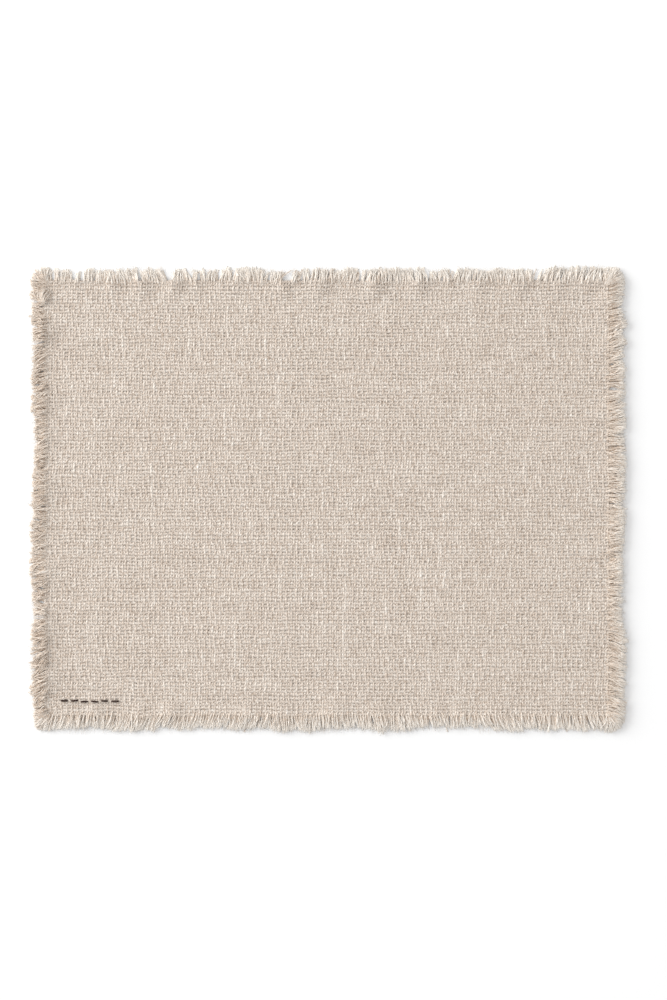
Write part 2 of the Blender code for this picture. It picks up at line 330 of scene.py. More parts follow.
def pull(chance, x, y):
    """A smooth random value from about -1 to 1 over the plan, as of a hand that has tugged the cloth."""
    total = 0.0
    for _ in range(TUG_WAVES):
        turn = chance.uniform(0, math.tau)
        length = chance.uniform(*TUG_LENGTHS)
        along = x * math.cos(turn) + y * math.sin(turn)
        total = total + np.sin(math.tau * along / length + chance.uniform(0, math.tau))
    return total / math.sqrt(TUG_WAVES)


# ---------- meshes of yarns


TINY = 1e-9
STRIP_INSETS = (0.03, 0.06)  # of a yarn's wall in its strip of the bake's map, along and across
CAP_PLACES = (0.014, 0.986)  # of its two caps along the strip
CAP_HALVES = (0.012, 0.4)


def swept(paths, halves, ring):
    """The points round each ring of many yarns: paths is (yarns, rings, 3), halves (yarns, rings, 2)."""
    ahead = np.gradient(paths, axis=1)
    ahead /= np.linalg.norm(ahead, axis=-1, keepdims=True) + TINY
    across = np.cross(ahead, (0.0, 0.0, 1.0))
    across /= np.linalg.norm(across, axis=-1, keepdims=True) + TINY
    upward = np.cross(across, ahead)
    turn = np.radians(ring)
    wide = halves[..., None, 0:1] * np.cos(turn)[:, None] * across[..., None, :]
    tall = halves[..., None, 1:2] * np.sin(turn)[:, None] * upward[..., None, :]
    return paths[..., None, :] + wide + tall


def yarn_faces(yarns, rings, sides):
    """Corners of the wall faces (yarns, rings - 1, sides, 4) and of the caps (yarns, 2, sides)."""
    first = (np.arange(yarns) * rings * sides)[:, None, None]
    ring = (np.arange(rings - 1) * sides)[None, :, None]
    this = np.arange(sides)[None, None, :]
    after = (this + 1) % sides
    low = first + ring
    walls = np.stack([low + this, low + after, low + sides + after, low + sides + this], axis=-1)
    start = first[:, 0] + np.arange(sides)[::-1]
    end = first[:, 0] + (rings - 1) * sides + np.arange(sides)
    return walls, np.stack([start, end], axis=1)


def yarn_maps(paths, sides):
    """The two maps of the walls and caps: the bake's, a strip for each yarn, and real lengths."""
    yarns, rings = paths.shape[:2]
    columns = max(1, round(math.sqrt(yarns / rings)))
    rows = math.ceil(yarns / columns)
    steps = np.linalg.norm(np.diff(paths, axis=1), axis=-1)
    length = np.concatenate([np.zeros((yarns, 1)), np.cumsum(steps, axis=1)], axis=1)
    yarn, ring, this = np.meshgrid(
        np.arange(yarns), np.arange(rings - 1), np.arange(sides), indexing="ij"
    )
    corner_ring = np.stack([ring, ring, ring + 1, ring + 1], axis=-1)
    corner_side = np.stack([this, this + 1, this + 1, this], axis=-1)
    column, row = yarn % columns, yarn // columns
    inset, side_inset = STRIP_INSETS
    u = (column[..., None] + inset + (1 - 2 * inset) * corner_ring / (rings - 1)) / columns
    v = (row[..., None] + side_inset + (1 - 2 * side_inset) * corner_side / sides) / rows
    strips = np.stack([u, v], axis=-1)
    real = np.stack([length[yarn[..., None], corner_ring], corner_side / sides], axis=-1)
    turn = math.tau * np.arange(sides) / sides
    cap_u = np.stack([place + CAP_HALVES[0] * np.cos(turn) for place in CAP_PLACES])
    cap_v = 0.5 + CAP_HALVES[1] * np.sin(turn)
    cap_column = (np.arange(yarns) % columns)[:, None, None]
    cap_row = (np.arange(yarns) // columns)[:, None, None]
    cap_strips = np.stack(
        np.broadcast_arrays((cap_column + cap_u) / columns, (cap_row + cap_v) / rows), axis=-1
    )
    return strips, real, cap_strips


def even_ring(sides):
    """The corners of an even ring, in degrees, one of them on top."""
    return tuple(90 + 360 * side / sides for side in range(sides))


def add_yarns(name, paths, halves, tone, material, ring):
    """One object of many closed yarns. tone is (yarns, rings): -1 is the darkest yarn, 1 the lightest."""
    yarns, rings = paths.shape[:2]
    sides = len(ring)
    points = swept(paths, halves, ring).reshape(-1, 3)
    walls, caps = yarn_faces(yarns, rings, sides)
    strips, real, cap_strips = yarn_maps(paths, sides)
    corners = np.concatenate([walls.reshape(-1), caps.reshape(-1)])
    starts = np.concatenate(
        [np.arange(walls.size // 4) * 4, walls.size + np.arange(yarns * 2) * sides]
    )
    mesh = bpy.data.meshes.new(name)
    mesh.vertices.add(len(points))
    mesh.vertices.foreach_set("co", points.astype(np.float32).reshape(-1))
    mesh.loops.add(len(corners))
    mesh.loops.foreach_set("vertex_index", corners.astype(np.int32))
    mesh.polygons.add(len(starts))
    mesh.polygons.foreach_set("loop_start", starts.astype(np.int32))
    mesh.update(calc_edges=True)
    bake = mesh.uv_layers.new(name="OFBake")
    bake.uv.foreach_set("vector", np.concatenate(
        [strips.reshape(-1), cap_strips.reshape(-1)]).astype(np.float32))
    lengths = mesh.uv_layers.new(name="lengths")
    lengths.uv.foreach_set("vector", np.concatenate(
        [real.reshape(-1), np.zeros(cap_strips.size)]).astype(np.float32))
    layer = mesh.attributes.new("tone", "FLOAT", "POINT")
    layer.data.foreach_set("value", np.repeat(tone, sides, axis=-1).astype(np.float32).reshape(-1))
    mesh.shade_smooth()
    mesh.materials.append(material)
    obj = bpy.data.objects.new(name, mesh)
    bpy.context.scene.collection.objects.link(obj)
    return obj


# ---------- the shader


class Term:
    """A shader socket that takes part in Python expressions on values."""

    def __init__(self, shader, socket):
        self.shader, self.socket = shader, socket

    def maths(self, operation, *terms):
        return self.shader.add("ShaderNodeMath", {"operation": operation}, dict(enumerate(terms)))

    def __add__(self, other):
        return self.maths("ADD", self, other)

    def __radd__(self, other):
        return self.maths("ADD", other, self)

    def __sub__(self, other):
        return self.maths("SUBTRACT", self, other)

    def __mul__(self, other):
        return self.maths("MULTIPLY", self, other)

    def __rmul__(self, other):
        return self.maths("MULTIPLY", other, self)

    def __truediv__(self, other):
        return self.maths("DIVIDE", self, other)

    def sine(self):
        return self.maths("SINE", self)

    def held(self):
        """The value, kept from 0 to 1."""
        return self.maths("MINIMUM", self.maths("MAXIMUM", self, 0.0), 1.0)


class Shader:
    """A material's nodes, added one at a time."""

    def __init__(self, name):
        self.material = bpy.data.materials.new(name)
        self.material.use_nodes = True
        self.tree = self.material.node_tree
        self.surface = self.tree.nodes["Principled BSDF"]

    def put(self, socket, value):
        """Sets a socket to a value, or links it to a term."""
        if isinstance(value, Term):
            self.tree.links.new(value.socket, socket)
        else:
            socket.default_value = value

    def add(self, kind, settings=None, inputs=None, output=0):
        """Adds a node: its type, its settings, then the values or links of its sockets."""
        node = self.tree.nodes.new(kind)
        for key, value in (settings or {}).items():
            setattr(node, key, value)
        for key, value in (inputs or {}).items():
            self.put(node.inputs[key], value)
        return Term(self, node.outputs[output])

    def blend(self, factor, low, high):
        """A colour between two others."""
        return self.add(
            "ShaderNodeMix",
            {"data_type": "RGBA", "clamp_factor": True},
            {0: factor, 6: low, 7: high},
            output=2,
        )

    def finish(self, inputs):
        for key, value in inputs.items():
            self.put(self.surface.inputs[key], value)
        return self.material


# Linear colours
DEEP_BEIGE = (0.50, 0.395, 0.31, 1)
WARM_BEIGE = (0.74, 0.642, 0.556, 1)
OFF_WHITE = (0.925, 0.865, 0.79, 1)
DEEP_END = (0.54, 0.425, 0.33, 1)  # the loose ends let more light through, so they look lighter
WARM_END = (0.81, 0.71, 0.615, 1)
PALE_END = (0.96, 0.91, 0.845, 1)
DARK_BROWN = (0.030, 0.016, 0.013, 1)
RUSTY_BROWN = (0.085, 0.045, 0.036, 1)

FIBRE_SIZES = (1.2 * MM, 0.5 * MM, 0.6 * MM)  # of the mottling, along and across its slant
FIBRE_SLANT = math.radians(50)
NOISE_DETAIL = 2.0
TWIST_PITCH = 3.6 * MM  # one turn of a yarn's plies
TWIST_GROOVES = 2
TWIST_RELIEF = 0.5
MOTTLE_TONE = 4.8
MOTTLE_RELIEF = 2.2
PATCH_SCALE = 90.0
PATCH_TONE = 0.3
BUMP_STRENGTH = 0.8
GROUND_GROOVE = 0.40 * MM  # how deep the relief is on the cloth's yarns,
LOOSE_GROOVE = 0.06 * MM  # on loose ends and thick thread,
SEWING_GROOVE = 0.03 * MM  # and on fine thread
FLATNESS = 1.2  # how much flatter than round the soft yarns catch the light
YARN_ROUGHNESS = 0.94
YARN_GLOSS = 0.15
SHEEN = 0.15
SHEEN_ROUGHNESS = 0.6


def yarn_material(name, dark, middle, light, groove):
    """Spun yarn: each end has its own tone, with light and shade painted into it in places, mottled with
    fibres, over the grooves of its twist.
    """
    shader = Shader(name)
    tone = shader.add("ShaderNodeAttribute", {"attribute_name": "tone"}, output=2)
    place = shader.add("ShaderNodeTexCoord", output=3)
    length = shader.add("ShaderNodeUVMap", {"uv_map": "lengths"})
    along = shader.add("ShaderNodeSeparateXYZ", inputs={0: length})
    around = Term(shader, along.socket.node.outputs[1])
    slanted = shader.add(
        "ShaderNodeMapping",
        {"vector_type": "TEXTURE"},
        {"Vector": place, "Rotation": (0, 0, FIBRE_SLANT), "Scale": FIBRE_SIZES},
    )
    mottle = shader.add(
        "ShaderNodeTexNoise", inputs={"Vector": slanted, "Scale": 1.0, "Detail": NOISE_DETAIL}
    )
    patch = shader.add(
        "ShaderNodeTexNoise", inputs={"Vector": place, "Scale": PATCH_SCALE, "Detail": NOISE_DETAIL}
    )
    twist = ((along / TWIST_PITCH + around * TWIST_GROOVES) * math.tau).sine()
    shade = 0.5 + 0.5 * (tone + (mottle - 0.5) * MOTTLE_TONE + (patch - 0.5) * PATCH_TONE)
    lower = shader.blend((shade * 2).held(), dark, middle)
    colour = shader.blend((shade * 2 - 1).held(), lower, light)
    relief = twist * TWIST_RELIEF + mottle * MOTTLE_RELIEF
    facing = shader.add("ShaderNodeNewGeometry", output=1)
    pressed = shader.add(
        "ShaderNodeVectorMath", {"operation": "MULTIPLY"}, {0: facing, 1: (1, 1, FLATNESS)}
    )
    soft = shader.add("ShaderNodeVectorMath", {"operation": "NORMALIZE"}, {0: pressed})
    bump = shader.add("ShaderNodeBump", inputs={
        "Strength": BUMP_STRENGTH, "Distance": groove, "Height": relief, "Normal": soft
    })
    return shader.finish({
        "Base Color": colour,
        "Roughness": YARN_ROUGHNESS,
        "Specular IOR Level": YARN_GLOSS,
        "Sheen Weight": SHEEN,
        "Sheen Roughness": SHEEN_ROUGHNESS,
        "Sheen Tint": WARM_BEIGE,
        "Normal": bump,
    })


# ---------- the cloth


def places_between(start, end, count, chance, unevenness, spacing_drift=0.0):
    """count yarns laid side by side, each a little off its even place."""
    order = np.arange(count)
    spacing = 1 + spacing_drift * drift(chance, 1, order, SPACING_LENGTH)[0]
    places = (np.cumsum(spacing) - spacing / 2) / spacing.sum()
    jitter = chance.uniform(-unevenness, unevenness, count) / count
    return start + (end - start) * (places + jitter)


def slubs(chance, count, along, share):
    """Thick, light places that come and go along some of the yarns, from 0 to 1."""
    thick = 0.0
    for slub in SLUBS:
        excess = drift(chance, count, along, slub.length) - (1 - slub.commonness * share)
        thick = np.maximum(thick, slub.strength * smooth(excess * slub.steepness))
    return thick


def yarn_rings(places, start, end):
    """Where a yarn has its rings: over the middle of each crossing yarn, and at its own two ends."""
    return np.concatenate([[start + YARN_END], places, [end - YARN_END]])


def rib_weave():
    """1 where a warp lies over a weft and -1 where it lies under, (warps, wefts): neighbours alternate."""
    under = np.arange(WEFT_COUNT) % (PICKS_UNDER + PICKS_OVER) < PICKS_UNDER
    odd = np.where(under, -1.0, 1.0)
    return np.where(np.arange(WARP_COUNT)[:, None] % 2, odd, -odd)


def tugged(x, y):
    """Places of the even weave after the small, smooth shifts of a cloth that has been handled."""
    chance = np.random.default_rng(SEED + 2)
    return x + TUG * pull(chance, x, y), y + TUG * pull(chance, x, y)


def run_of_yarns(run, rings, over, chance):
    """Each yarn's stray from its line, its height, half sizes and tone, (yarns, rings)."""
    over = np.pad(over, ((0, 0), (1, 1)))
    count = len(over)
    own = drift(chance, count, rings, DRIFT_LENGTH)
    thick = slubs(chance, count, rings, run.slubs)
    # painted light: a yarn is made lighter where it lies on top of a crossing and darker where it dives
    # under
    tone = run.tone + DRIFT_TONE * own + SLUB_TONE * thick + run.crown_tone * over
    tone += chance.normal(0, CROSSING_TONE, over.shape) + chance.normal(0, YARN_TONE, (count, 1))
    height = WEAVE_MIDDLE + over * run.rise + chance.normal(0, CROSSING_UNEVENNESS, over.shape)
    aside = run.stray * drift(chance, count, rings, STRAY_LENGTH)
    girth = (1 + GIRTH_DRIFT * own + run.slub_girth * thick) * (1 + run.bulge * over)
    halves = np.stack([run.half[0] * girth, run.half[1] * np.sqrt(girth)], axis=-1)
    return aside, height, halves, tone


def build_ground(warp_material, weft_material):
    """The ribbed weave, in pieces of half its warps or wefts each."""
    chance = np.random.default_rng(SEED)
    warp_x = places_between(
        CLOTH_LEFT, CLOTH_RIGHT, WARP_COUNT, chance, WARP_UNEVENNESS, SPACING_DRIFT
    )
    weft_y = places_between(CLOTH_FRONT, CLOTH_BACK, WEFT_COUNT, chance, WEFT_UNEVENNESS)
    repeat = np.arange(WEFT_COUNT) % len(PICK_SHIFTS)
    weft_y += np.array(PICK_SHIFTS)[repeat] * (CLOTH_BACK - CLOTH_FRONT) / WEFT_COUNT
    warp_over = rib_weave()
    crowns = np.array(PICK_CROWNS)[repeat][:, None]
    weft_over = np.where(warp_over.T < 0, crowns, -1.0)
    rings = yarn_rings(weft_y, CLOTH_FRONT, CLOTH_BACK)
    aside, height, warp_halves, warp_tone = run_of_yarns(WARP, rings, warp_over, chance)
    x, y = tugged(warp_x[:, None] + aside, np.broadcast_to(rings, aside.shape))
    warp_paths = laid(x, y, height)
    rings = yarn_rings(warp_x, CLOTH_LEFT, CLOTH_RIGHT)
    aside, height, weft_halves, weft_tone = run_of_yarns(WEFT, rings, weft_over, chance)
    x, y = tugged(np.broadcast_to(rings, aside.shape), weft_y[:, None] + aside)
    weft_paths = laid(x, y, height)
    halfway_warp, halfway_weft = WARP_COUNT // 2, WEFT_COUNT // 2
    parts = (
        ("warp_left", warp_paths, warp_halves, warp_tone, slice(0, halfway_warp), warp_material),
        ("warp_right", warp_paths, warp_halves, warp_tone, slice(halfway_warp, None), warp_material),
        ("weft_front", weft_paths, weft_halves, weft_tone, slice(0, halfway_weft), weft_material),
        ("weft_back", weft_paths, weft_halves, weft_tone, slice(halfway_weft, None), weft_material),
    )
    return {
        name: add_yarns(name, paths[part], halves[part], tone[part], material, YARN_RING)
        for name, paths, halves, tone, part, material in parts
    }


# ---------- the fringe

# The loose ends of a side
PLACE_JITTER = 0.12  # how far an end lies off its even place, in pitches
LENGTH_SPREAD = 0.05
REACH_UNEVENNESS = 0.16  # how much longer or shorter neighbouring lots of ends are
REACH_LENGTH = 7 * MM
STEEPEST_LEAN = 32  # degrees: past this an end keeps its length and reaches less far out
LEAN_LIMIT = 60
CLUMP_WIDTHS = (2.2 * MM, 7.5 * MM)
CREST_SQUARENESS = 4
PARTING_REACH = 1.6 * MM  # ends this far beside a parting are pushed aside,
PARTING_PUSH = 0.6 * MM  # by this much more than its half width
PARTING_FADE = 0.5  # less this share of how far off they are
SHED_SHARE = 0.7  # of a parting's half width has lost its ends,
SHED_MARGIN = 0.2 * MM  # and this much more

# The loose ends that fan out at a corner
FAN_ENDS = 13
FAN_TURNS = (6, 84)  # degrees from one side's way out to the next
FAN_TURN_SPREAD = 4
FAN_LEAN_SPREAD = 13
FAN_SCATTER = 10
FAN_INSET = 1.6 * MM
FAN_GAIN = 1.08  # how much longer they are
FAN_OPENING = 1.3  # how much wider their plies spread
FAN_MORE_PLIES = 2

# The plies of a loose end. Some lie lowest, flat and wide under the others.
PLY_RINGS = 8
PLY_SIDES = 4
PLY_HALF = 0.29 * MM
PLY_GIRTHS = (0.8, 1.3)
TAPER = 0.6
PLY_LEAN = 7  # degrees that a ply may lean away from its end
EVEN_SCATTER = 6  # degrees
PLY_LENGTH_SPREAD = 0.03
FRAYING = 1.1 * MM  # how much shorter than the longest a ply is, as a mean
MOST_FRAYED = 0.5  # share of its length that it can lose
PLY_TURNS = 0.5  # how often its plies go round each other,
TWISTS = (0.4, 1.5)  # and how much of that one end has
TURN_UNEVENNESS = 0.04
OPENINGS = (0.5, 1.0)  # how far from its end's middle a ply lies
OPEN_AT_ROOT = 0.7  # of that
SPLAY = 1.3  # how much further its tip may lie
CURVES = (1.0, 1.7)  # 1 leans aside evenly, more does so towards the tip
END_WANDER = 0.25 * MM
END_WAVES = 0.75
PLY_WANDER = 0.30 * MM
PLY_WAVES = (3, 8)  # radians along a ply
GATHER_PEAK = (0.28, 0.2)  # where along an end it gathers in its clump, and over what share of it
ROOT_OVERLAPS = (0.2 * MM, 4.0 * MM)  # how far back over the cloth's edge a ply can be seen
ROOT_HEIGHT = 0.42 * MM  # over the middle of the weave
ROOT_DIP = 0.7 * MM  # a root dips into the weave
ROOT_DIP_PEAK = (0.0, 0.08)
FALL_START = 0.12  # where along it an end starts to come down from the cloth
FALL_STEEPNESS = 1.25
HUMP_SHARES = (0.1, 1)
HUMP_SQUARENESS = 1.3
CREST_PEAK = (0.3, 0.2)
PLY_STACK = 0.65 * MM  # how far its plies lie over and under its middle
STACK_AT_ROOT = 0.35  # of that
STACK_STEEPNESS = 2.5
FLOOR_CLEARANCE = 0.40 * MM
END_TONE = 0.12  # how much the tone of one end differs from another's,
PLY_TONE = 0.14  # and that of its plies
LOW_SHARE = 0.42  # of the plies lie lowest
LOW_WIDTH = 3.0
LOW_THICKNESS = 0.6
LOW_SPREAD = 1.4
LOW_HUMP = 0.3
LOW_PAINTED_SHADE = 0.40  # painted shade: how much darker they are, as they lie under the others
LOW_SHORTFALL = 0.5 * MM
LOW_FRAYING = 0.5  # how much of the others' fraying they have
LOW_TAPER = 0.3

# The fine loose fibres between the tips
FIBRES_AN_END = 3
FIBRE_RINGS = 5
FIBRE_SIDES = 3
FIBRE_HALF = 0.11 * MM
FIBRE_GIRTHS = (0.7, 1.3)
FIBRE_TAPER = 0.5
FIBRE_SCATTER = 16
FIBRE_LEAN_LIMIT = 66
FIBRE_STARTS = (0.35, 0.8)  # shares of the fringe's length
FIBRE_STOPS = (0.85, 1.22)
FIBRE_BEND = 0.8 * MM
FIBRE_HEIGHTS = (0.3 * MM, 1.6 * MM)
FIBRE_FALL = 0.6
FIBRE_TONE = 0.4
FIBRE_CLEARANCE = 2.2 * MM  # from the middle of a parting
FAR_OFF = 9.0  # where a side with no partings has its nearest one

# The ends that lie apart
STRAY_PLIES = (-1, 0, 1)
STRAY_PLY_GAP = 0.3 * MM
STRAY_BEND = 0.5 * MM
STRAY_ROOT_HEIGHT = 0.7 * MM  # over the middle of the weave
STRAY_FALL = 4 * MM
STRAY_GIRTH = 1.1
STRAY_TAPER = 0.5
STRAY_TONE = 0.1

# Loose ends, one row each: where they leave the cloth, the ways out of it and along its side, how they
# lean, their length, how far their tips are pushed along by partings, where the middle of their clump
# lies, how high the cloth lies, the heights of their tips, humps and crests, their painted light and
# shade at root, middle and tip, how much they gather in clumps, and how many degrees they scatter
Ends = namedtuple("Ends", "root out along lean length shift clump lift tip hump crest tones gather scatter")


def along_table(rows, key, along):
    """A column of a side's table at places along it, eased from row to row."""
    places = np.array([row.along * MM for row in rows])
    values = np.array([getattr(row, key) for row in rows], float)
    after = np.clip(np.searchsorted(places, along), 1, len(rows) - 1)
    share = smooth((along - places[after - 1]) / (places[after] - places[after - 1]))
    return values[after - 1] * (1 - share) + values[after] * share


def side_reach(side, along):
    """How far out of the cloth a side's fringe reaches at places along it."""
    return along_table(side.fringe, "reach", along) * MM + side.further


def side_lean_and_length(side, along):
    """The lean in degrees and the length of a side's fringe at places along it."""
    lean = along_table(side.fringe, "lean", along)
    shown = np.minimum(np.abs(lean), STEEPEST_LEAN)
    return lean, side_reach(side, along) / np.cos(np.radians(shown))


def clumped(along, chance):
    """How far along its side the middle of its own clump lies from each end."""
    edges = [along.min()]
    while edges[-1] < along.max():
        edges.append(edges[-1] + chance.uniform(*CLUMP_WIDTHS))
    edges = np.array(edges)
    clump = np.searchsorted(edges, along, side="right") - 1
    middle = (edges[clump] + edges[np.minimum(clump + 1, len(edges) - 1)]) / 2
    return middle - along


def parted(side, along):
    """How far partings push each tip aside, and which ends are kept."""
    push = np.zeros_like(along)
    kept = np.ones(len(along), bool)
    for parting in side.partings:
        off = along - parting.along * MM
        half = parting.half * MM
        near = np.abs(off) < half + PARTING_REACH
        push += near * np.sign(off) * np.maximum(half + PARTING_PUSH - np.abs(off) * PARTING_FADE, 0)
        kept &= np.abs(off) > SHED_SHARE * half + SHED_MARGIN
    return push, kept


def side_ends(side, chance):
    """The loose ends of one side."""
    pitch = (side.end - side.start) / side.ends
    jitter = chance.uniform(-PLACE_JITTER, PLACE_JITTER, side.ends)
    along = side.start + pitch * (np.arange(side.ends) + 0.5 + jitter)
    push, kept = parted(side, along)
    clump = clumped(along, chance)[kept]
    shift = push[kept]
    along = along[kept]
    count = len(along)
    lean, length = side_lean_and_length(side, along)
    uneven = REACH_UNEVENNESS * drift(chance, 1, along, REACH_LENGTH)[0]
    length = length * (1 + uneven + chance.normal(0, LENGTH_SPREAD, count))
    lean = np.clip(lean + chance.normal(0, side.scatter, count), -LEAN_LIMIT, LEAN_LIMIT)
    out = np.broadcast_to(side.out, (count, 2)).astype(float)
    way = np.broadcast_to(side.along, (count, 2)).astype(float)
    root = out * (side.root + wobble(side, along))[:, None] + way * along[:, None]
    crest = np.zeros(count)
    for ridge in side.crests:
        off = (along - ridge.along * MM) / (ridge.spread * MM)
        crest += ridge.height * MM * np.exp(-(off**CREST_SQUARENESS))
    lift = cloth_lift(root[:, 0], root[:, 1])
    tip, hump = (np.full(count, value) for value in (side.tip, side.hump))
    tones = np.broadcast_to(side.tones, (count, len(side.tones)))
    return Ends(
        root, out, way, np.radians(lean), length, shift, clump, lift, tip, hump, crest, tones,
        side.gather, side.scatter,
    )


def corner_ends(beside, ahead, chance):
    """The ends that fan out at a corner, from the out way of one side to that of the next."""
    turn = np.linspace(*FAN_TURNS, FAN_ENDS) + chance.normal(0, FAN_TURN_SPREAD, FAN_ENDS)
    turn = np.radians(turn)
    first, second = np.array(beside.out, float), np.array(ahead.out, float)
    out = np.cos(turn)[:, None] * first + np.sin(turn)[:, None] * second
    way = -np.sin(turn)[:, None] * first + np.cos(turn)[:, None] * second
    corner = first * beside.root + second * ahead.root
    share = turn / (math.pi / 2)
    inset = FAN_INSET * np.stack([share, 1 - share])[..., None]
    root = corner - inset[0] * first - inset[1] * second
    reaches = []
    for side, other in ((beside, ahead), (ahead, beside)):
        place = other.root * (other.out[0] * side.along[0] + other.out[1] * side.along[1])
        reaches.append(side_reach(side, np.array([place]))[0])
    power = beside.squareness
    length = ((np.cos(turn) / reaches[0]) ** power + (np.sin(turn) / reaches[1]) ** power) ** (-1 / power)
    length = FAN_GAIN * length
    none = np.zeros(FAN_ENDS)
    lean = np.radians(chance.normal(0, FAN_LEAN_SPREAD, FAN_ENDS))
    lift = cloth_lift(root[:, 0], root[:, 1])
    tip = beside.tip * (1 - share) + ahead.tip * share
    hump = beside.hump * (1 - share) + ahead.hump * share
    tones = np.outer(1 - share, beside.tones) + np.outer(share, ahead.tones)
    return Ends(
        root, out, way, lean, length, none, none, lift, tip, hump, none, tones, (0, 0), FAN_SCATTER
    )


def ply_leans_and_lengths(ends, end, low, chance):
    """The lean in radians and the length of each ply. end is the end that each belongs to."""
    spread = np.radians(PLY_LEAN) * math.sqrt(ends.scatter / EVEN_SCATTER)
    lean = ends.lean[end][:, None] + spread * chance.normal(0, 1, low.shape)
    length = ends.length[end][:, None] * (1 + chance.normal(0, PLY_LENGTH_SPREAD, low.shape))
    frayed = chance.exponential(FRAYING, low.shape) * np.where(low, LOW_FRAYING, 1.0)
    return lean, length - np.minimum(frayed, MOST_FRAYED * length) - low * LOW_SHORTFALL


def ply_heights(ends, end, low, s, chance):
    """How high each end's middle lies at the shares s along it: down off the cloth, over its humps."""
    top = (WEAVE_MIDDLE + ROOT_HEIGHT + ends.lift[end])[:, None]
    fall = 1 - smooth((s - FALL_START) * FALL_STEEPNESS)
    height = top * fall + ends.tip[end][:, None] * (1 - fall)
    hump = (ends.hump * chance.uniform(*HUMP_SHARES, len(ends.hump)))[end][:, None]
    hump = hump * np.sin(math.pi * s) ** HUMP_SQUARENESS
    hump = hump + ends.crest[end][:, None] * peak(s, *CREST_PEAK)
    return height + np.where(low, LOW_HUMP, 1.0) * hump - ROOT_DIP * peak(s, *ROOT_DIP_PEAK)


def ply_tones(ends, end, low, s, chance):
    """The tone of each ply at the shares s along it, with light and shade painted into it."""
    root, middle, tip = ends.tones[end].T[..., None]
    early, late = np.clip(2 * s, 0, 1), np.clip(2 * s - 1, 0, 1)
    tone = root * (1 - early) + middle * (early - late) + tip * late
    tone = tone + chance.normal(0, END_TONE, len(ends.lean))[end][:, None]
    tone = tone + chance.normal(0, PLY_TONE, low.shape)
    # painted shade: the low plies that lie under the others are darkened
    return tone - np.where(low, LOW_PAINTED_SHADE, 0.0)


def ply_paths(ends, plies, spread, chance):
    """The paths, half sizes and tones of the fine plies that each loose end has come apart into."""
    count = len(ends.lean)
    end = np.repeat(np.arange(count), plies)
    ply = np.tile(np.arange(plies), count)[:, None]
    lots = (len(end), 1)
    s = np.linspace(0, 1, PLY_RINGS)[None]
    low = chance.uniform(0, 1, lots) < LOW_SHARE
    lean, length = ply_leans_and_lengths(ends, end, low, chance)
    turn = ply / plies + chance.uniform(0, 1, count)[end][:, None]
    turn = turn + chance.normal(0, TURN_UNEVENNESS, lots)
    turn = math.tau * (turn + PLY_TURNS * s * chance.uniform(*TWISTS, count)[end][:, None])
    opening = chance.uniform(*OPENINGS, lots)
    splay = chance.uniform(0, SPLAY, lots) * s**3
    opening = opening * (OPEN_AT_ROOT + (1 - OPEN_AT_ROOT) * s + splay)
    curve = chance.uniform(*CURVES, count)[end][:, None]
    wander = ends.scatter / EVEN_SCATTER * END_WANDER * chance.normal(0, 1, count)[end][:, None]
    wander = wander * np.sin(math.tau * END_WAVES * s)
    wander = wander + PLY_WANDER * chance.normal(0, 1, lots) * np.sin(chance.uniform(*PLY_WAVES, lots) * s)
    sideways = (ends.shift[end][:, None] + length * np.sin(lean)) * s**curve + wander
    gather = ends.gather[0] * peak(s, *GATHER_PEAK) + ends.gather[1] * s**curve
    sideways = sideways + np.where(low, 0.0, 1.0) * ends.clump[end][:, None] * gather
    aside = np.where(low, chance.uniform(-LOW_SPREAD, LOW_SPREAD, lots), opening * np.cos(turn))
    sideways = sideways + spread * aside
    overlap = chance.uniform(*ROOT_OVERLAPS, lots)
    outward = length * np.cos(lean) * s - overlap * (1 - s)
    plan = ends.root[end][:, None] + ends.out[end][:, None] * outward[..., None]
    plan = plan + ends.along[end][:, None] * sideways[..., None]
    height = ply_heights(ends, end, low, s, chance)
    stack = PLY_STACK * (STACK_AT_ROOT + (1 - STACK_AT_ROOT) * smooth(s * STACK_STEEPNESS))
    height = height + stack * np.where(low, -1.0, opening * np.sin(turn))
    paths = np.concatenate([plan, np.maximum(height, FLOOR_CLEARANCE)[..., None]], axis=-1)
    taper = np.where(low, LOW_TAPER, TAPER) * s**3
    girth = PLY_HALF * chance.uniform(*PLY_GIRTHS, lots) * (1 - taper)
    wide, tall = girth * np.where(low, LOW_WIDTH, 1.0), girth * np.where(low, LOW_THICKNESS, 1.0)
    return paths, np.stack([wide, tall], axis=-1), ply_tones(ends, end, low, s, chance)


def fibre_paths(side, chance):
    """Fine loose fibres that haze the tips."""
    along = chance.uniform(side.start, side.end, side.ends * FIBRES_AN_END)
    partings = np.array([parting.along * MM for parting in side.partings] + [FAR_OFF])
    off = np.abs(along[:, None] - partings).min(axis=1)
    along = along[off > FIBRE_CLEARANCE]
    count = len(along)
    lean, length = side_lean_and_length(side, along)
    lean = lean + chance.normal(0, FIBRE_SCATTER, count)
    lean = np.radians(np.clip(lean, -FIBRE_LEAN_LIMIT, FIBRE_LEAN_LIMIT))
    s = np.linspace(0, 1, FIBRE_RINGS)
    start = chance.uniform(*FIBRE_STARTS, count)
    stop = chance.uniform(*FIBRE_STOPS, count)
    share = start[:, None] + (stop - start)[:, None] * s
    bend = chance.normal(0, FIBRE_BEND, (count, 1)) * np.sin(math.pi * s)
    at = along[:, None] + (length * np.sin(lean))[:, None] * share + bend
    out = side.root + (length * np.cos(lean))[:, None] * share
    height = FLOOR_CLEARANCE + chance.uniform(*FIBRE_HEIGHTS, (count, 1)) * (1 - FIBRE_FALL * s)
    paths = np.stack([*in_plan(side, at, out), height], axis=-1)
    girth = FIBRE_HALF * chance.uniform(*FIBRE_GIRTHS, (count, 1)) * (1 - FIBRE_TAPER * s)
    return paths, np.stack([girth, girth], axis=-1), np.full(paths.shape[:2], FIBRE_TONE)


